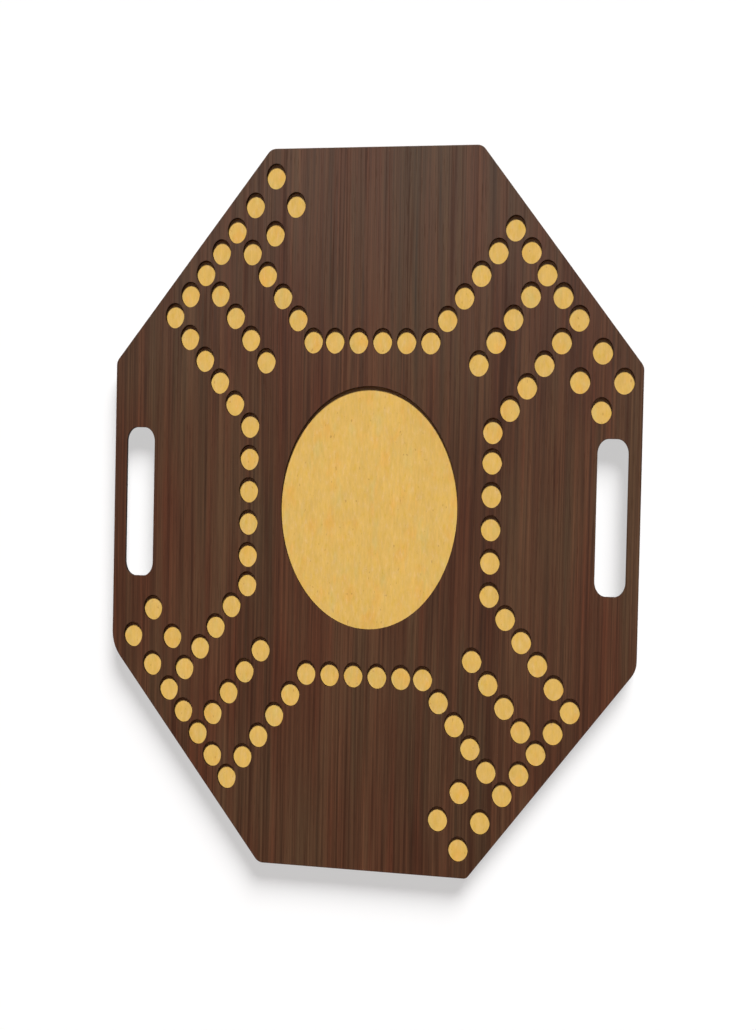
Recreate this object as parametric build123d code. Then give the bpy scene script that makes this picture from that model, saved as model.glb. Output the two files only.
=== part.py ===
from build123d import *

import math
import os

# A flat race-game board for four players, held by two hand slots. An octagonal pierced top sheet
# of dark straight-grained wood lies on a honey-coloured panel, which is the floor of every marble
# well and of the card window. Under it come a core board, a dark back sheet and eight rubber feet.
#
# Millimetres. +X runs across the board, +Y along it, +Z up. The origin is at the middle of the
# board on the surface that the feet stand on.

# ---- Outline -------------------------------------------------------------------------------
WIDTH = 466.0
LENGTH = 634.0
END_SIDE = 186.0  # length of the two short ends, between their corner points
LONG_SIDE = 257.0  # length of the two straight long sides
# Corner radii, clockwise from the left end of the far end
CORNER_RADII = (9.0, 9.0, 11.0, 22.0, 5.0, 9.0, 38.0, 10.0)

# ---- Layers, from the feet up -----------------------------------------------------------------
FOOT_HEIGHT = 6.0
BACK_THICK = 0.8
CORE_THICK = 6.0
FLOOR_THICK = 3.0
TOP_THICK = 3.2
BACK_Z = FOOT_HEIGHT
CORE_Z = BACK_Z + BACK_THICK
FLOOR_Z = CORE_Z + CORE_THICK
TOP_Z = FLOOR_Z + FLOOR_THICK
HEIGHT = TOP_Z + TOP_THICK
ARRIS = 0.35  # rounding of every edge in the top sheet's face

# ---- Wells, set out in steps of the track -------------------------------------------------------
STEP_ACROSS = 21.13
STRETCH = 1.363  # the track and the window are this much longer along Y than across X
STEP_ALONG = STEP_ACROSS * STRETCH
TRACK_CENTRE = (-0.4, 1.8)  # the track and the window sit a little off the outline's middle
WELL_WIDTH = 17.1
WELL_LENGTH = 22.4
WINDOW_CENTRE = (0.0, 2.4)
WINDOW_WIDTH = 156.4

# One quarter of the track, in steps from the centre of the board. The other three quarters are
# this one turned, in steps, by a quarter turn each.
QUARTERS = 4
RUN_OFFSET = 5.093  # of the straight run beside the window
RUN_START = -2.435
RUN_FIRST_STEP = 0.910
RUN_WELLS = 6
LANE_STEP = 0.951  # along the two slanting lanes of an arm
LANE_WELLS = 5
HOME_START = 0.907
HOME_STEP = 0.963
HOME_WELLS = 4
BASE_SETBACKS = (1.089, 1.359, 1.231, 1.074)  # of each quarter's start square from its corner
BASE_SIDE = 1.233

# ---- Hand slots -----------------------------------------------------------------------------------
SLOT_WIDTH = 25.8
SLOT_LENGTH = 134.0
SLOT_CENTRES = ((-209.0, 2.4), (209.0, 0.0))
SLOT_CORNER = 9.4  # half-width of the rounding at the slot's ends
GRIP = 3.4  # the boards under the top sheet are cut back this far, as a grip for the fingers
BAND_THICK = 1.2
BAND_REACH = GRIP + BAND_THICK

# ---- Edge lipping -----------------------------------------------------------------------------------
LIPPING = 4.0

# ---- Feet and their screws ----------------------------------------------------------------------------
FOOT_RADIUS = 9.0
FOOT_TIP_RADIUS = 7.6
FOOT_SETBACK = 22.0  # from the board's corner points, towards the centre
FOOT_EDGE = 0.8
WELL_IN_FOOT_RADIUS = 4.2  # the recess that the washer and the screw's head sit in
WELL_IN_FOOT_DEPTH = 3.4
WASHER_THICK = 0.6
WASHER_RADIUS = 4.0
SCREW_RADIUS = 1.5
SCREW_LENGTH = 8.0
HEAD_RADIUS = 3.0
HEAD_HEIGHT = 1.8
HEAD_ROUND = 0.7
DRIVE_WIDTH = 0.8
DRIVE_LENGTH = 3.4
DRIVE_DEPTH = 0.9


def corners():
    """The octagon's corner points, clockwise from the left end of the far end."""
    end, side = END_SIDE / 2, LONG_SIDE / 2
    wide, long = WIDTH / 2, LENGTH / 2
    return [
        Vector(-end, long),
        Vector(end, long),
        Vector(wide, side),
        Vector(wide, -side),
        Vector(end, -long),
        Vector(-end, -long),
        Vector(-wide, -side),
        Vector(-wide, side),
    ]


def inset_corners(points, distance):
    """The corner points of the same octagon with every side moved inwards."""
    moved = []
    for i, point in enumerate(points):
        before = (point - points[i - 1]).normalized()
        after = (points[(i + 1) % len(points)] - point).normalized()
        inward = Vector(before.Y, -before.X) + Vector(after.Y, -after.X)
        half_turn = before.get_angle(after) / 2
        reach = distance / math.cos(math.radians(half_turn))
        moved.append(point + inward.normalized() * reach)
    return moved


def face_of(points):
    return make_face(Polyline(*points, close=True))


def outline():
    """The octagon with its rounded corners."""
    sketch = face_of(corners())
    for point, radius in zip(corners(), CORNER_RADII):
        corner = sketch.vertices().sort_by_distance(point)[0]
        sketch = fillet(corner, radius)
    return sketch


def well_places():
    """Centres of all the wells, in steps: track, home lanes and start squares."""
    half = math.sqrt(0.5)
    out = Vector(-half, half)
    up = Vector(half, half)
    first = Vector(RUN_START, RUN_OFFSET)
    run = [first]
    for i in range(RUN_WELLS - 1):
        run.append(first + Vector(RUN_FIRST_STEP + i, 0))
    next_run_end = Vector(-RUN_OFFSET, run[-1].X)
    near = first + out * LANE_STEP * LANE_WELLS
    far = next_run_end + out * LANE_STEP * LANE_WELLS
    middle = (near + far) / 2

    quarter = list(run)
    for i in range(1, LANE_WELLS + 1):
        quarter.append(first + out * LANE_STEP * i)
    for i in range(1, LANE_WELLS):
        quarter.append(near + (far - near) * i / (LANE_WELLS - 1))
        quarter.append(far - out * LANE_STEP * i)
    for i in range(HOME_WELLS):
        quarter.append(middle - out * (HOME_START + HOME_STEP * i))

    places = []
    for turn, setback in enumerate(BASE_SETBACKS):
        square = near + up * setback
        base = [square, square + up * BASE_SIDE]
        base += [point - out * BASE_SIDE for point in base]
        for point in quarter + base:
            places.append(point.rotate(Axis.Z, -360 / QUARTERS * turn))
    return places


def wells():
    well = Pos(*TRACK_CENTRE) * Ellipse(WELL_WIDTH / 2, WELL_LENGTH / 2)
    return [Pos(p.X * STEP_ACROSS, p.Y * STEP_ALONG) * well for p in well_places()]


def window():
    return Pos(*WINDOW_CENTRE) * Ellipse(WINDOW_WIDTH / 2, WINDOW_WIDTH / 2 * STRETCH)


def slot(grow=0.0):
    """One hand slot about its own centre, with elliptical corners, grown on every side."""
    wide, long = SLOT_WIDTH / 2 + grow, SLOT_LENGTH / 2 + grow
    rx, ry = SLOT_CORNER + grow, SLOT_CORNER * STRETCH + grow
    cx, cy = wide - rx, long - ry
    edges = []
    for sx, sy, start in ((1, 1, 0), (-1, 1, 90), (-1, -1, 180), (1, -1, 270)):
        edges.append(EllipticalCenterArc((sx * cx, sy * cy), rx, ry, start, arc_size=90))
    edges += [
        Line((cx, long), (-cx, long)),
        Line((-wide, cy), (-wide, -cy)),
        Line((-cx, -long), (cx, -long)),
        Line((wide, -cy), (wide, cy)),
    ]
    return make_face(edges)


def slots(grow=0.0):
    return [Pos(*centre) * slot(grow) for centre in SLOT_CENTRES]


def slab(sketch, z, thick):
    return Pos(0, 0, z) * extrude(sketch, thick)


def foot_places():
    return [point - point.normalized() * FOOT_SETBACK for point in corners()]


def top_sheet():
    sheet = slab(outline() - wells() - window() - slots(), TOP_Z, TOP_THICK)
    rims = sheet.edges().group_by(Axis.Z)[-1]
    return fillet(rims, ARRIS)


def inner_panel(z, thick):
    """An octagon inside the lipping, with the slots cut to take their bands."""
    panel = face_of(inset_corners(corners(), LIPPING))
    return slab(panel - slots(BAND_REACH), z, thick)


def screw_hole(point, z, depth):
    return Pos(point.X, point.Y, z) * extrude(Circle(SCREW_RADIUS), depth)


def core_board():
    board = inner_panel(CORE_Z, CORE_THICK)
    depth = SCREW_LENGTH - (CORE_Z - screw_seat())
    return board - [screw_hole(point, CORE_Z, depth) for point in foot_places()]


def back_sheet():
    sheet = slab(outline() - slots(BAND_REACH), BACK_Z, BACK_THICK)
    sheet -= [screw_hole(point, BACK_Z, BACK_THICK) for point in foot_places()]
    return sheet


def edge_strips():
    """Eight mitred lippings, each one side of the octagon, cut to the rounded outline."""
    outer = corners()
    inner = inset_corners(outer, LIPPING)
    whole = outline()
    strips = []
    for i in range(len(outer)):
        j = (i + 1) % len(outer)
        blank = face_of([outer[i], outer[j], inner[j], inner[i]])
        strips.append(slab(blank & whole, CORE_Z, TOP_Z - CORE_Z))
    return strips


def slot_band():
    """A strip bent round inside a slot's grip, from the back of the board to the top sheet."""
    return slab(slot(BAND_REACH) - slot(GRIP), BACK_Z, TOP_Z - BACK_Z)


def screw_seat():
    """Height of the screw head's underside: on the washer, inside the foot's recess."""
    return WELL_IN_FOOT_DEPTH - WASHER_THICK


def foot():
    """A tapered rubber foot about its own axis, with a recess for the washer and the head."""
    body = Solid.make_cone(FOOT_TIP_RADIUS, FOOT_RADIUS, FOOT_HEIGHT)
    body = fillet(body.edges().group_by(Axis.Z)[0], FOOT_EDGE)
    recess = Solid.make_cylinder(WELL_IN_FOOT_RADIUS, WELL_IN_FOOT_DEPTH)
    bore = Solid.make_cylinder(SCREW_RADIUS, FOOT_HEIGHT)
    return body - recess - bore


def washer():
    ring = Circle(WASHER_RADIUS) - Circle(SCREW_RADIUS)
    return slab(ring, screw_seat(), WASHER_THICK)


def screw():
    """A pan-head screw, head down, with a cross drive."""
    head = Pos(0, 0, screw_seat() - HEAD_HEIGHT) * Solid.make_cylinder(HEAD_RADIUS, HEAD_HEIGHT)
    head = fillet(head.edges().group_by(Axis.Z)[0], HEAD_ROUND)
    bar = Rectangle(DRIVE_LENGTH, DRIVE_WIDTH)
    drive = slab(bar + Rot(0, 0, 90) * bar, screw_seat() - HEAD_HEIGHT, DRIVE_DEPTH)
    shank = Pos(0, 0, screw_seat()) * Solid.make_cylinder(SCREW_RADIUS, SCREW_LENGTH)
    return head + shank - drive


def at_feet(piece):
    return Compound(children=[Pos(p.X, p.Y, 0) * piece for p in foot_places()])


SIDE_NAMES = (
    "far",
    "far_right",
    "right",
    "near_right",
    "near",
    "near_left",
    "left",
    "far_left",
)

parts = {
    "top_sheet": top_sheet(),
    "floor_panel": inner_panel(FLOOR_Z, FLOOR_THICK),
    "core_board": core_board(),
    "back_sheet": back_sheet(),
    "slot_band_left": Pos(*SLOT_CENTRES[0]) * slot_band(),
    "slot_band_right": Pos(*SLOT_CENTRES[1]) * slot_band(),
    "foot_washers": at_feet(washer()),
    "foot_screws": at_feet(screw()),
}
for name, strip in zip(SIDE_NAMES, edge_strips()):
    parts[f"edge_strip_{name}"] = strip
for number, point in enumerate(foot_places(), start=1):
    parts[f"foot_{number}"] = Pos(point.X, point.Y) * foot()

os.makedirs("parts", exist_ok=True)
for name, shape in parts.items():
    export_step(shape, f"parts/{name}.step")
print(len(parts), "nodes,", len(well_places()), "wells")
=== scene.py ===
# %% [markdown]
# # A marble race board
# Four players race marbles round this octagonal board and hold it by two slots. A pierced sheet
# of dark straight-grained wood lies on a honey-coloured panel, so the panel shows as the bright
# floor of every marble well and of the card window.
#
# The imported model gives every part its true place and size. This lesson adds what the eye
# judges: grain, scorched cut walls, rubber, zinc, a floor, lamps and a camera.

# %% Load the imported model
import math

import bmesh
import bpy
from mathutils import Euler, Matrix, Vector


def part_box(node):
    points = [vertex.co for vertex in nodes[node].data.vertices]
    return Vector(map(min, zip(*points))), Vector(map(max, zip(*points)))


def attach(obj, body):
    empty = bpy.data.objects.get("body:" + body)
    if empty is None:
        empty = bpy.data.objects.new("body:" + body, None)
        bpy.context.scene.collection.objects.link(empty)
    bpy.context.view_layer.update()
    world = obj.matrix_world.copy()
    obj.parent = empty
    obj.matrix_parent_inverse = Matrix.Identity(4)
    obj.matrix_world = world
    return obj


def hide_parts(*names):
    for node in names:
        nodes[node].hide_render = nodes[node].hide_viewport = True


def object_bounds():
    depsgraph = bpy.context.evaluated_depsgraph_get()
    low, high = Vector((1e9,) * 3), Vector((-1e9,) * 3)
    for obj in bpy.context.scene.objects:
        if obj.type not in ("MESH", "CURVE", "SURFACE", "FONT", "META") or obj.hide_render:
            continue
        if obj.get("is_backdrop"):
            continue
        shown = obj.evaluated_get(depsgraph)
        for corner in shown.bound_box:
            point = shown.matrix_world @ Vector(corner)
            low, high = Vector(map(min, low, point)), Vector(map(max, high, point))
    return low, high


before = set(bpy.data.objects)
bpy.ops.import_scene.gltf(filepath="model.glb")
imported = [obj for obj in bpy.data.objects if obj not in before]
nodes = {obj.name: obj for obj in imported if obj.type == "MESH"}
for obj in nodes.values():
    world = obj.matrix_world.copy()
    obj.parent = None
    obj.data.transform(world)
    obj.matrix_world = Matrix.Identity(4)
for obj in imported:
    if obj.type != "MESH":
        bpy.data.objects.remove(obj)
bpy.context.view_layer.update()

MM = 0.001
scene = bpy.context.scene

# %% [markdown]
# ## Camera
# The board is seen from nearly overhead, a little to the right of its middle. A normal lens at
# 1.2 m keeps the octagon's far and near ends almost equal. A tiny shift of the frame stands in
# for turning the camera, which would make the long sides lean.

# %% Camera
LENS = 47.89
SENSOR = 36.0
CAMERA_PLACE = (0.1999, 0.0609, 1.2)
CAMERA_TURN = (-1.209, 10.915, 1.193)
SHIFT = 0.0388

camera_data = bpy.data.cameras.new("camera")
camera_data.lens = LENS
camera_data.sensor_width = SENSOR
camera_data.shift_x = SHIFT
camera_data.shift_y = -SHIFT
camera = bpy.data.objects.new("camera", camera_data)
camera.location = CAMERA_PLACE
camera.rotation_euler = Euler([math.radians(turn) for turn in CAMERA_TURN])
scene.collection.objects.link(camera)
scene.camera = camera
scene.view_settings.view_transform = "Standard"
print("camera at", tuple(camera.location), "lens", round(camera_data.lens, 2))

# %% [markdown]
# ## Shader maths in Python
# A procedural finish is a web of small nodes. Wiring sums one node at a time hides what they
# mean, so a `Signal` wraps a socket and lets it stand in an ordinary expression, such as
# `1 - scorched`. Python calls the reflected forms, such as `__rsub__`, when a plain number
# stands on the left.

# %% Signals
class Signal:
    """A node's output that can be used in a sum."""

    def __init__(self, web, socket):
        self.web = web
        self.socket = socket

    def maths(self, operation, *values):
        return self.web.node("ShaderNodeMath", {"operation": operation}, dict(enumerate(values)))

    def __add__(self, other):
        return self.maths("ADD", self, other)

    def __sub__(self, other):
        return self.maths("SUBTRACT", self, other)

    def __rsub__(self, other):
        return self.maths("SUBTRACT", other, self)

    def __mul__(self, other):
        return self.maths("MULTIPLY", self, other)

    def __abs__(self):
        return self.maths("ABSOLUTE", self)

    __radd__ = __add__
    __rmul__ = __mul__


print("signals add, subtract, multiply and take their size")

# %% [markdown]
# ## Webs of nodes
# A `Web` is one node tree. Its `node` method makes every node: settings first, then the numbers
# or signals that go into its sockets. The other methods name the few patterns that wood,
# lacquer and rubber all share, such as noise that is drawn out along the grain.

# %% Webs
MIX_NUMBERS = (2, 3)
MIX_COLOURS = (6, 7)
COLOUR_OUT = 2


class Web:
    """A node tree under construction."""

    def __init__(self, tree):
        self.tree = tree
        tree.nodes.clear()

    def node(self, kind, settings=None, sockets=None, out=0):
        made = self.tree.nodes.new(kind)
        for setting, value in (settings or {}).items():
            setattr(made, setting, value)
        for socket, value in (sockets or {}).items():
            if isinstance(value, Signal):
                self.tree.links.new(value.socket, made.inputs[socket])
            else:
                made.inputs[socket].default_value = value
        return Signal(self, made.outputs[out]) if made.outputs else None

    def axes(self, vector):
        """The X, Y and Z of a vector, each as a signal."""
        parts = self.node("ShaderNodeSeparateXYZ", sockets={0: vector})
        return [Signal(self, socket) for socket in parts.socket.node.outputs]

    def noise(self, place, waves, detail=2.0, roughness=0.5, start=(0, 0, 0)):
        """Smooth noise about 0, with its own number of waves per metre along X, Y and Z.

        A start of its own keeps two layers from rising and falling together.
        """
        sockets = {"Vector": place, "Location": start, "Scale": waves}
        laid = self.node("ShaderNodeMapping", sockets=sockets)
        sockets = {"Vector": laid, "Scale": 1.0, "Detail": detail, "Roughness": roughness}
        return self.node("ShaderNodeTexNoise", sockets=sockets) - 0.5

    def ramp(self, value, low, high):
        """0 up to low, 1 from high, and a soft step between."""
        sockets = {"Value": value, "From Min": low, "From Max": high}
        return self.node("ShaderNodeMapRange", {"interpolation_type": "SMOOTHSTEP"}, sockets)

    def between(self, share, first, second):
        """A number between two, by share."""
        a, b = MIX_NUMBERS
        return self.node("ShaderNodeMix", sockets={0: share, a: first, b: second})

    def mix(self, share, first, second):
        """A colour between two, by share."""
        pair = [c if isinstance(c, Signal) else (*c, 1.0) for c in (first, second)]
        sockets = {0: share, **dict(zip(MIX_COLOURS, pair))}
        return self.node("ShaderNodeMix", {"data_type": "RGBA"}, sockets, COLOUR_OUT)

    def brighten(self, colour, gain):
        """A colour with all its parts multiplied by one signal."""
        sockets = {0: colour, "Scale": gain}
        return self.node("ShaderNodeVectorMath", {"operation": "SCALE"}, sockets)

    def bump(self, height, depth, strength):
        sockets = {"Height": height, "Distance": depth, "Strength": strength}
        return self.node("ShaderNodeBump", sockets=sockets)


class Finish(Web):
    """A material under construction, ending in one Principled shader."""

    def __init__(self, name):
        self.material = bpy.data.materials.new(name)
        self.material.use_nodes = True
        super().__init__(self.material.node_tree)
        self.place = self.node("ShaderNodeTexCoord", out="Object")

    def finish(self, **sockets):
        """Ends the material. Names are the shader's sockets with _ for a space."""
        named = {name.replace("_", " "): value for name, value in sockets.items()}
        shader = self.node("ShaderNodeBsdfPrincipled", sockets=named)
        self.node("ShaderNodeOutputMaterial", sockets={"Surface": shader})
        print(self.material.name, len(self.tree.nodes), "nodes")
        return self.material


print("webs and finishes ready")

# %% [markdown]
# ## Charred walls
# The wells, the window and the slots were cut by a beam that charred their walls and left fine
# upright marks. The sheet is one part, so its walls are told apart by their normal: the face
# looks up, the walls look sideways. The marks are noise that is fine in X and Y and slow in Z.

# %% Charred walls
CHAR = (0.0125, 0.0036, 0.0016)
CHAR_EDGE = (0.0300, 0.0095, 0.0036)
WALL_TILT, FACE_TILT = 0.25, 0.97
WALL_DULL = 0.82
MARK_WAVES = (900, 900, 70)


def charred_walls(wood):
    """How far a point belongs to a cut wall, and the wall's colour there."""
    normal = wood.node("ShaderNodeNewGeometry", out="Normal")
    upright = wood.axes(normal)[2]
    cut = 1 - wood.ramp(upright, WALL_TILT, FACE_TILT)
    marks = wood.noise(wood.place, MARK_WAVES, start=(7, 3, 1))
    return cut, wood.mix(wood.ramp(marks, -0.15, 0.25), CHAR, CHAR_EDGE)


print("walls from a normal Z of", FACE_TILT, "down")

# %% [markdown]
# ## Dark face wood
# The face is a softwood with fine straight grain, stained dark and rubbed with a satin oil. The
# eye reads it in layers: broad patches, bands a finger wide, streaks that turn from red-brown to
# olive-grey, thin dark growth lines and hair-fine fibres. Each layer is noise squeezed across
# the grain (X) and drawn out along it (Y). A slow drift bends all of them together, so that no
# line is ruled dead straight. Towards the far end the colour is mixed a little towards a pale
# grey. This is a painted sheen that stands in for the soft reflection of the lamps there.

# %% Dark face wood
RED_STAIN = (0.0748, 0.0229, 0.0104)
OLIVE_STAIN = (0.0645, 0.0341, 0.0165)
DARK_LINE = (0.0300, 0.0090, 0.0035)
NICK = (0.150, 0.085, 0.050)
# Painted sheen: the pale grey mixed into the far end of the face in place of a soft reflection.
PAINTED_SHEEN = (0.205, 0.174, 0.143)
SHEEN_FROM, SHEEN_TO, SHEEN_SHARE = 0.04, 0.34, 0.125
DRIFT = 6 * MM
FACE_DULL = 0.50
FACE_RELIEF = 0.06 * MM

DRIFT_WAVES = (7, 2.2, 7)
PATCH_WAVES = (12, 5, 9)
BAND_WAVES = (42, 1.4, 30)
HUE_WAVES = (85, 2.2, 60)
STREAK_WAVES = (210, 3.4, 120)
FIBRE_WAVES = (470, 5.0, 300)
RING_WAVES = (105, 0.9, 60)
STRONG_WAVES = (60, 2.5, 60)
HAIR_WAVES = (250, 1.1, 60)
PORE_WAVES = (1500, 60, 500)
NICK_WAVES = (420, 260, 300)


def face_wood():
    wood = Finish("oiled_face_wood")
    x, y, z = wood.axes(wood.place)
    across = x + wood.noise(wood.place, DRIFT_WAVES, detail=1.0) * DRIFT
    grain = wood.node("ShaderNodeCombineXYZ", sockets={0: across, 1: y, 2: z})

    patches = wood.noise(wood.place, PATCH_WAVES, start=(2.2, 5.6, 0))
    bands = wood.noise(grain, BAND_WAVES, start=(3.1, 0.4, 0))
    hue = wood.noise(grain, HUE_WAVES, detail=3.0, roughness=0.62, start=(8.2, 1.7, 0))
    streaks = wood.noise(grain, STREAK_WAVES, roughness=0.6, start=(1.3, 6.1, 0))
    fibres = wood.noise(grain, FIBRE_WAVES, detail=3.0, roughness=0.7, start=(5.5, 2.9, 0))
    rings = wood.noise(grain, RING_WAVES, detail=1.0, start=(2.4, 9.3, 0))
    strong = wood.ramp(wood.noise(grain, STRONG_WAVES, start=(7.7, 3.3, 0)), -0.12, 0.16)
    lines = (1 - wood.ramp(abs(rings), 0.004, 0.028)) * strong
    hairs = wood.noise(grain, HAIR_WAVES, detail=1.0, start=(6.4, 2.3, 0))
    hairlines = 1 - wood.ramp(abs(hairs), 0.004, 0.038)
    pores = wood.ramp(wood.noise(grain, PORE_WAVES, detail=1.0, start=(4, 4, 0)), 0.10, 0.22)
    nicks = wood.ramp(wood.noise(wood.place, NICK_WAVES, start=(6, 7, 0)), 0.275, 0.31)

    olive = wood.ramp(hue * 0.8 + patches * 0.7, -0.28, 0.28)
    tone = 1.08 + patches * 0.4 + bands * 0.9 + streaks * 0.5 + fibres * 2.3
    face = wood.brighten(wood.mix(olive, RED_STAIN, OLIVE_STAIN), tone)
    # Painted sheen: paler and greyer towards the far end (+Y), standing in for reflected light.
    face = wood.mix(wood.ramp(y, SHEEN_FROM, SHEEN_TO) * SHEEN_SHARE, face, PAINTED_SHEEN)
    face = wood.mix(lines * 0.60, face, DARK_LINE)
    face = wood.mix(hairlines * 0.56, face, DARK_LINE)
    face = wood.mix(pores * 0.30, face, DARK_LINE)
    face = wood.mix(nicks * 0.30, face, NICK)

    cut, char = charred_walls(wood)
    dull = FACE_DULL + fibres * 0.16 + streaks * 0.10 + pores * 0.12
    relief = fibres * 0.5 - pores * 0.35 - lines * 0.2
    return wood.finish(
        Base_Color=wood.mix(cut, face, char),
        Roughness=wood.between(cut, dull, WALL_DULL),
        Normal=wood.bump(relief, FACE_RELIEF, 0.6),
    )


face_wood_finish = face_wood()

# %% [markdown]
# ## Honey panel
# The panel under the wells is a pale board with a clear yellow lacquer. Its fibres run along
# the board as a soft mottle, tinted here to orange and there to green, with a rare dark fleck.
# Two soft clouds choose the tints, and a third layer moves between a deep and a milky yellow.

# %% Honey panel
HONEY = (0.682, 0.432, 0.109)
HONEY_ORANGE = (0.712, 0.402, 0.087)
HONEY_GREEN = (0.638, 0.448, 0.131)
HONEY_DEEP = (0.651, 0.402, 0.061)
HONEY_MILKY = (0.707, 0.467, 0.176)
FLECK = (0.36, 0.17, 0.035)
HONEY_DULL = 0.58
HONEY_RELIEF = 0.04 * MM


def honey_lacquer():
    honey = Finish("honey_lacquer")
    fibres = honey.noise(honey.place, (620, 110, 400), detail=3.0, roughness=0.6)
    mottle = honey.noise(honey.place, (210, 60, 150), start=(2, 5, 0))
    clear = honey.noise(honey.place, (330, 120, 200), detail=3.0, roughness=0.7, start=(3, 3, 0))
    clouds = honey.noise(honey.place, (40, 22, 30), start=(5, 4, 0))
    warm = honey.noise(honey.place, (75, 36, 60), roughness=0.6, start=(6, 1, 0))
    cool = honey.noise(honey.place, (90, 30, 60), roughness=0.6, start=(1, 8, 0))
    specks = honey.noise(honey.place, (520, 210, 300), detail=1.0, start=(9, 9, 0))

    colour = honey.mix(honey.ramp(warm, 0.00, 0.24), HONEY, HONEY_ORANGE)
    colour = honey.mix(honey.ramp(cool, 0.02, 0.26), colour, HONEY_GREEN)
    colour = honey.mix(honey.ramp(clear, 0.0, 0.30), colour, HONEY_DEEP)
    colour = honey.mix(honey.ramp(0 - clear, 0.0, 0.30), colour, HONEY_MILKY)
    colour = honey.brighten(colour, 1 + fibres * 0.26 + mottle * 0.16 + clouds * 0.14)
    colour = honey.mix(honey.ramp(specks, 0.21, 0.27) * 0.45, colour, FLECK)
    return honey.finish(
        Base_Color=colour,
        Roughness=HONEY_DULL + fibres * 0.15,
        Normal=honey.bump(fibres, HONEY_RELIEF, 0.5),
    )


honey_finish = honey_lacquer()

# %% [markdown]
# ## Edge strips and slot bands
# The lippings round the edge and the bands inside the slots are thin dark strips whose grain
# runs level. Noise that is fine in Z and slow in X and Y gives level grain on a strip that
# points any way, so the eight mitred strips and both bent bands share one kind of finish.

# %% Level-grained strips
STRIP_DARK = (0.030, 0.0125, 0.0070)
STRIP_LIGHT = (0.070, 0.0310, 0.0165)
STRIP_DULL = 0.50
BAND_DARK = (0.022, 0.0105, 0.0070)
BAND_LIGHT = (0.046, 0.0215, 0.0130)
BAND_DULL = 0.58
STRIP_RELIEF = 0.05 * MM


def level_grain(name, dark, light, dull):
    strip = Finish(name)
    grain = strip.noise(strip.place, (9, 9, 520), detail=3.0, roughness=0.6)
    fibres = strip.noise(strip.place, (30, 30, 2600), start=(3, 1, 7))
    gaps = strip.noise(strip.place, (95, 95, 3000), detail=1.0, start=(8, 2, 5))
    pores = strip.ramp(gaps, 0.12, 0.22)
    colour = strip.mix(strip.ramp(grain, -0.22, 0.22), dark, light)
    colour = strip.brighten(colour, 1 + fibres * 0.8)
    return strip.finish(
        Base_Color=strip.mix(pores * 0.4, colour, dark),
        Roughness=dull + fibres * 0.2,
        Normal=strip.bump(fibres * 0.5 - pores, STRIP_RELIEF, 0.5),
    )


strip_finish = level_grain("stained_edge_strip", STRIP_DARK, STRIP_LIGHT, STRIP_DULL)
band_finish = level_grain("stained_slot_band", BAND_DARK, BAND_LIGHT, BAND_DULL)

# %% [markdown]
# ## Fibreboard core
# The core is pressed wood fibre. It only shows inside the finger grips, but the part is looked
# at from all sides, so it has its own fine brown speckle and slightly furry surface.

# %% Fibreboard core
CORE_PALE = (0.33, 0.20, 0.105)
CORE_DARK = (0.15, 0.080, 0.040)
CORE_DULL = 0.9
CORE_RELIEF = 0.1 * MM


def fibreboard():
    core = Finish("pressed_fibreboard")
    specks = core.noise(core.place, (1300, 1300, 2200), detail=3.0, roughness=0.7)
    clouds = core.noise(core.place, (60, 60, 200), start=(4, 2, 1))
    colour = core.mix(core.ramp(specks, -0.2, 0.25), CORE_DARK, CORE_PALE)
    return core.finish(
        Base_Color=core.brighten(colour, 1 + clouds * 0.3),
        Roughness=CORE_DULL + specks * 0.1,
        Normal=core.bump(specks, CORE_RELIEF, 0.5),
    )


core_finish = fibreboard()

# %% [markdown]
# ## Back laminate
# A thin dark laminate under the board balances the face, so that the board stays flat. It is
# matt and pebbled, over a faint printed grain.

# %% Back laminate
BACK_DARK = (0.021, 0.0150, 0.0120)
BACK_LIGHT = (0.046, 0.0330, 0.0260)
BACK_DULL = 0.62
BACK_RELIEF = 0.08 * MM


def back_laminate():
    back = Finish("matt_back_laminate")
    grain = back.noise(back.place, (210, 7, 100), detail=3.0, roughness=0.6)
    pebble = back.noise(back.place, (1100, 900, 900), start=(5, 2, 1))
    colour = back.mix(back.ramp(grain, -0.22, 0.22), BACK_DARK, BACK_LIGHT)
    return back.finish(
        Base_Color=back.brighten(colour, 1 + pebble * 0.35),
        Roughness=BACK_DULL + pebble * 0.15,
        Normal=back.bump(pebble, BACK_RELIEF, 0.5),
    )


back_finish = back_laminate()

# %% [markdown]
# ## Rubber
# The feet are moulded black rubber, dusty with handling. One even noise gives the moulded skin
# and a slower one says where the dust has settled.

# %% Rubber
RUBBER = (0.017, 0.0165, 0.016)
RUBBER_DUST = (0.050, 0.047, 0.043)
RUBBER_DULL = 0.72
RUBBER_RELIEF = 0.07 * MM


def foot_rubber():
    rubber = Finish("moulded_rubber")
    skin = rubber.noise(rubber.place, (1600, 1600, 1600))
    dust = rubber.noise(rubber.place, (240, 240, 240), detail=3.0, roughness=0.65, start=(2, 3, 4))
    return rubber.finish(
        Base_Color=rubber.mix(rubber.ramp(dust, 0.0, 0.3), RUBBER, RUBBER_DUST),
        Roughness=RUBBER_DULL + dust * 0.25,
        Normal=rubber.bump(skin, RUBBER_RELIEF, 0.6),
    )


rubber_finish = foot_rubber()

# %% [markdown]
# ## Zinc
# The screws and washers are steel with a clear zinc coat, which is bright but cloudy, with fine
# turning marks. Marks that are fine in Z alone run level round every screw.

# %% Zinc
ZINC = (0.60, 0.61, 0.60)
ZINC_DULL = (0.40, 0.40, 0.385)
ZINC_ROUGH = 0.34
ZINC_RELIEF = 0.02 * MM


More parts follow.
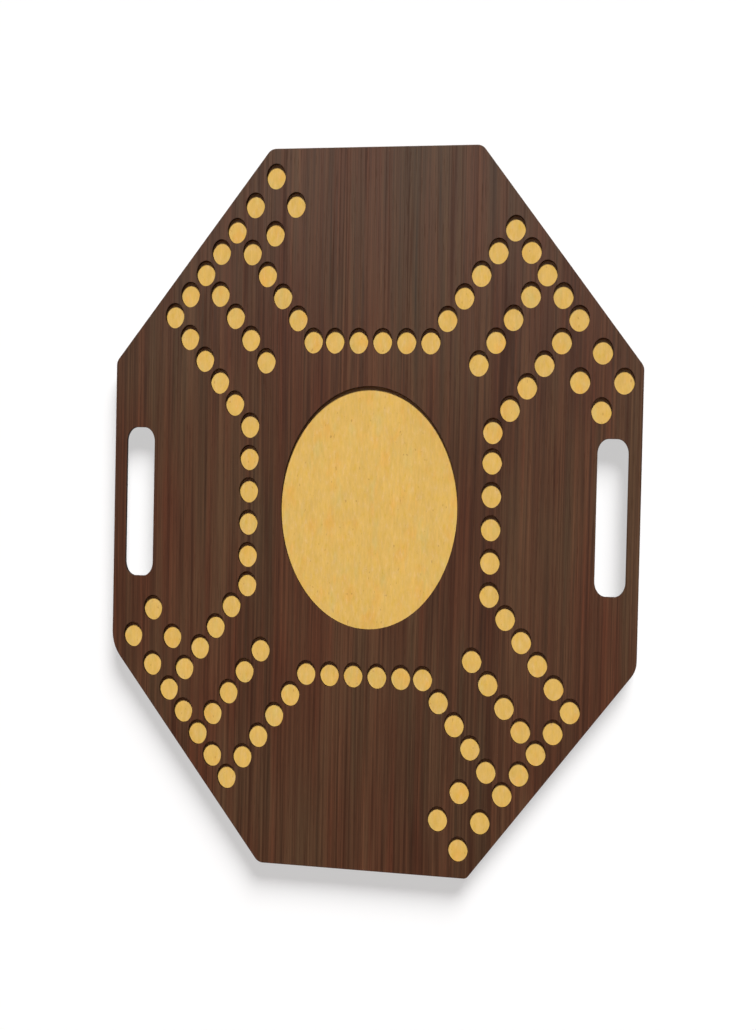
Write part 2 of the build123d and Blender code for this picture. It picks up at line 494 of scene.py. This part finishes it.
def zinc_steel():
    zinc = Finish("zinc_plated_steel")
    clouds = zinc.noise(zinc.place, (420, 420, 420), detail=3.0, roughness=0.6)
    turned = zinc.noise(zinc.place, (350, 350, 5200), detail=1.0, start=(1, 2, 3))
    return zinc.finish(
        Base_Color=zinc.mix(zinc.ramp(clouds, -0.2, 0.25), ZINC, ZINC_DULL),
        Metallic=1.0,
        Roughness=ZINC_ROUGH + clouds * 0.3,
        Normal=zinc.bump(turned, ZINC_RELIEF, 0.5),
    )


zinc_finish = zinc_steel()

# %% [markdown]
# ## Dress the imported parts
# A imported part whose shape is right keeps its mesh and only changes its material. The start of
# the part's name says which of the finishes it wears.

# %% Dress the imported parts
FINISH_OF = {
    "top_sheet": face_wood_finish,
    "floor_panel": honey_finish,
    "core_board": core_finish,
    "back_sheet": back_finish,
    "edge_strip": strip_finish,
    "slot_band": band_finish,
    "foot_washers": zinc_finish,
    "foot_screws": zinc_finish,
    "foot": rubber_finish,
}


def finish_for(name):
    return next(finish for start, finish in FINISH_OF.items() if name.startswith(start))


for name, node in nodes.items():
    for slot in node.material_slots:
        slot.material = finish_for(name)
print("dressed", len(nodes), "parts")

# %% [markdown]
# ## New pieces
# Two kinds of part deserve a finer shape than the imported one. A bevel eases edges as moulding
# or a sanding block does.

# %% Helpers for new pieces
SMOOTH_UP_TO = math.radians(32)
BEVEL_STEPS = 2


def new_piece(name, form, finish, slot, *stood_for):
    """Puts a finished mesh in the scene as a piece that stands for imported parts."""
    bmesh.ops.remove_doubles(form, verts=form.verts, dist=1e-7)
    for face in form.faces:
        face.smooth = True
    for edge in form.edges:
        edge.smooth = edge.is_manifold and edge.calc_face_angle(0) < SMOOTH_UP_TO
    mesh = bpy.data.meshes.new(name)
    form.to_mesh(mesh)
    form.free()
    mesh.materials.append(finish)
    piece = bpy.data.objects.new(name, mesh)
    scene.collection.objects.link(piece)
    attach(piece, "root")
    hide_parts(*stood_for)
    print(name, len(mesh.polygons), "faces")


def soften(form, width, over):
    """Bevels every edge that is sharper than an angle in degrees."""
    sharp = [edge for edge in form.edges if edge.calc_face_angle(0) > math.radians(over)]
    bmesh.ops.bevel(
        form,
        geom=sharp,
        offset=width * MM,
        offset_type="OFFSET",
        affect="EDGES",
        segments=BEVEL_STEPS,
        profile=0.5,
        material=-1,
    )


print("edges stay smooth up to", round(math.degrees(SMOOTH_UP_TO)), "degrees")

# %% [markdown]
# ## Moulded feet
# Each real foot is a turned shape: a tapered rubber button with a rolled bead under its flange,
# two grip grooves, and a recess that hides the washer and the screw head. A shape that is the
# same all round is quickest to make by spinning half of its section about its axis. The
# section is a short list of corners, and a bevel afterwards softens them as moulding does. The
# packed foot gives the place, and stays behind as the solid that touches the table.

# %% Moulded feet
FEET = 8
FOOT_STEPS = 64
FOOT_EASE = 0.14
FOOT_SHARP = 40
FOOT_SECTION = (
    (1.5, 6.0),
    (9.0, 6.0),
    (9.0, 5.3),
    (8.62, 4.9),
    (8.3, 3.5),
    (8.0, 3.4),
    (8.0, 3.0),
    (8.18, 2.9),
    (7.85, 1.0),
    (7.2, 0.0),
    (6.6, 0.0),
    (6.45, 0.35),
    (5.95, 0.35),
    (5.8, 0.0),
    (4.2, 0.0),
    (4.2, 3.4),
    (1.5, 3.4),
)


def spun(section, steps):
    """A closed section of (radius, height) corners in mm, spun once round Z."""
    form = bmesh.new()
    corners = [form.verts.new((radius * MM, 0, height * MM)) for radius, height in section]
    edges = [form.edges.new(pair) for pair in zip(corners, corners[1:] + corners[:1])]
    bmesh.ops.spin(
        form,
        geom=corners + edges,
        axis=(0, 0, 1),
        angle=math.tau,
        steps=steps,
        use_merge=True,
    )
    bmesh.ops.recalc_face_normals(form, faces=form.faces)
    return form


for number in range(1, FEET + 1):
    packed = f"foot_{number}"
    low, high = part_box(packed)
    middle = (low + high) / 2
    foot = spun(FOOT_SECTION, FOOT_STEPS)
    soften(foot, FOOT_EASE, FOOT_SHARP)
    bmesh.ops.translate(foot, verts=foot.verts, vec=(middle.x, middle.y, 0))
    new_piece(f"moulded_foot_{number}", foot, rubber_finish, "foot_rubber", packed)

# %% [markdown]
# ## Slot bands
# Inside each grip a thin strip of veneer is bent round and glued, and its two ends meet in a
# butt joint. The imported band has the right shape, so a copy is merged into whole faces, its
# rims are eased with a bevel, and two cuts mark out a narrow upright strip of the inner wall
# that is pushed in to leave the joint's fine groove.

# %% Helpers for the slot bands
FLAT_UP_TO = math.radians(0.5)


def merged_copy(packed):
    """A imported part's mesh as a bmesh of whole flat faces."""
    form = bmesh.new()
    form.from_mesh(nodes[packed].data)
    bmesh.ops.remove_doubles(form, verts=form.verts, dist=1e-6)
    bmesh.ops.dissolve_limit(form, angle_limit=FLAT_UP_TO, verts=form.verts, edges=form.edges)
    return form


def cut_across(form, place, along):
    everything = form.verts[:] + form.edges[:] + form.faces[:]
    bmesh.ops.bisect_plane(form, geom=everything, dist=1e-7, plane_co=place, plane_no=along)


print("faces merge up to", round(math.degrees(FLAT_UP_TO), 1), "degrees")

# %% Slot bands
JOINT_WIDTH = 0.35
JOINT_DEPTH = 0.45
RIM_EASE = 0.25
RIM_SHARP = 60
FACES_INWARD = -0.9

for side, outward in (("left", -1), ("right", 1)):
    packed = f"slot_band_{side}"
    low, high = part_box(packed)
    middle = (low + high) / 2
    band = merged_copy(packed)
    soften(band, RIM_EASE, RIM_SHARP)
    half = Vector((0, JOINT_WIDTH * MM / 2, 0))
    for place in (middle - half, middle + half):
        cut_across(band, place, (0, 1, 0))
    joint = [
        face
        for face in band.faces
        if abs(face.calc_center_median().y - middle.y) < half.y
        and face.normal.x * outward < FACES_INWARD
        and (face.calc_center_median().x - middle.x) * outward > 0
    ]
    pushed = bmesh.ops.extrude_face_region(band, geom=joint)["geom"]
    pushed = [item for item in pushed if isinstance(item, bmesh.types.BMVert)]
    bmesh.ops.translate(band, verts=pushed, vec=(outward * JOINT_DEPTH * MM, 0, 0))
    bmesh.ops.delete(band, geom=[face for face in joint if face.is_valid], context="FACES")
    open_edges = sum(not edge.is_manifold for edge in band.edges)
    print(packed, len(joint), "faces pushed in,", open_edges, "open edges")
    new_piece(f"bent_band_{side}", band, band_finish, "slot_band", packed)

# %% [markdown]
# ## Floor
# The board lies on a seamless white table. The table glows a little, as one does that is lit
# from all round, so its lit part is white while the shadow stays a soft grey.

# %% Floor
FLOOR_REACH = 6.0
FLOOR_GREY = (0.45, 0.45, 0.45, 1)
FLOOR_GLOW = 0.55
WHITE = (1, 1, 1, 1)

floor_mesh = bpy.data.meshes.new("floor")
floor_form = bmesh.new()
bmesh.ops.create_grid(floor_form, x_segments=1, y_segments=1, size=FLOOR_REACH)
floor_form.to_mesh(floor_mesh)
floor_form.free()
floor = bpy.data.objects.new("floor", floor_mesh)
scene.collection.objects.link(floor)
floor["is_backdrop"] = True

table_finish = Finish("white_table").finish(
    Base_Color=FLOOR_GREY,
    Roughness=1.0,
    Specular_IOR_Level=0.0,
    Emission_Color=WHITE,
    Emission_Strength=FLOOR_GLOW,
)
floor_mesh.materials.append(table_finish)
print("floor reaches", FLOOR_REACH, "m")

# %% [markdown]
# ## Lamps
# The main lamp stands beyond the far end, about 40 degrees up. Its disc is small, so each well's
# rim throws a crisp dark crescent on the honey floor. A hard lamp at that height would also turn
# the oiled face white when seen from the near side, so it gives no gloss. A wide, high sheen lamp
# gives the gloss instead. The table has its own lamp with a wide disc, which gives the board its
# soft ground shadow. Light linking lets each lamp reach only what it is meant for.

# %% Lamps
def lamp(name, irradiance, disc, turn, height):
    """A far lamp. Turn is from +Y towards +X and height above the horizon, in degrees."""
    data = bpy.data.lights.new(name, "SUN")
    data.energy = irradiance
    data.angle = math.radians(disc)
    made = bpy.data.objects.new(name, data)
    bearing, rise = math.radians(turn), math.radians(height)
    level = math.cos(rise)
    ray = -Vector((math.sin(bearing) * level, math.cos(bearing) * level, math.sin(rise)))
    made.rotation_euler = ray.to_track_quat("-Z", "Y").to_euler()
    scene.collection.objects.link(made)
    return made


def reach(made, state):
    """Says whether a lamp lights only the floor (INCLUDE) or all but the floor (EXCLUDE)."""
    lit = bpy.data.collections.new(made.name + "_reach")
    lit.objects.link(floor)
    lit.collection_objects[0].light_linking.link_state = state
    made.light_linking.receiver_collection = lit


main_lamp = lamp("main_lamp", irradiance=4.98, disc=8.0, turn=3.0, height=40.2)
main_lamp.visible_glossy = False
reach(main_lamp, "EXCLUDE")
sheen_lamp = lamp("sheen_lamp", irradiance=0.80, disc=60.0, turn=10.0, height=62.0)
sheen_lamp.visible_diffuse = False
reach(sheen_lamp, "EXCLUDE")
table_lamp = lamp("table_lamp", irradiance=6.1, disc=27.0, turn=18.0, height=31.0)
reach(table_lamp, "INCLUDE")
print("lamps", main_lamp.name, sheen_lamp.name, table_lamp.name)

# %% [markdown]
# ## Room
# The room is dim and warm overhead, which keeps the crescents deep, and pale near the horizon,
# where the sides of the board look. The camera itself sees plain white.

# %% Room
OVERHEAD = (0.047, 0.018, 0.011)
HORIZON = (0.80, 0.80, 0.80)
LOW_BAND = (0.05, 0.20)

room = bpy.data.worlds.new("room")
room.use_nodes = True
scene.world = room

studio = Web(room.node_tree)
height = studio.axes(studio.node("ShaderNodeTexCoord", out="Generated"))[2]
glow = studio.mix(studio.ramp(height, *LOW_BAND), HORIZON, OVERHEAD)
lighting = studio.node("ShaderNodeBackground", sockets={"Color": glow})
backdrop = studio.node("ShaderNodeBackground", sockets={"Color": WHITE})
seen = studio.node("ShaderNodeLightPath", out="Is Camera Ray")
both = studio.node("ShaderNodeMixShader", sockets={0: seen, 1: lighting, 2: backdrop})
studio.node("ShaderNodeOutputWorld", sockets={"Surface": both})
print("room", len(studio.tree.nodes), "nodes")

# %% [markdown]
# ## Close
# The box round every shown part, floor aside, is measured.

# %% Close
low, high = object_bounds()
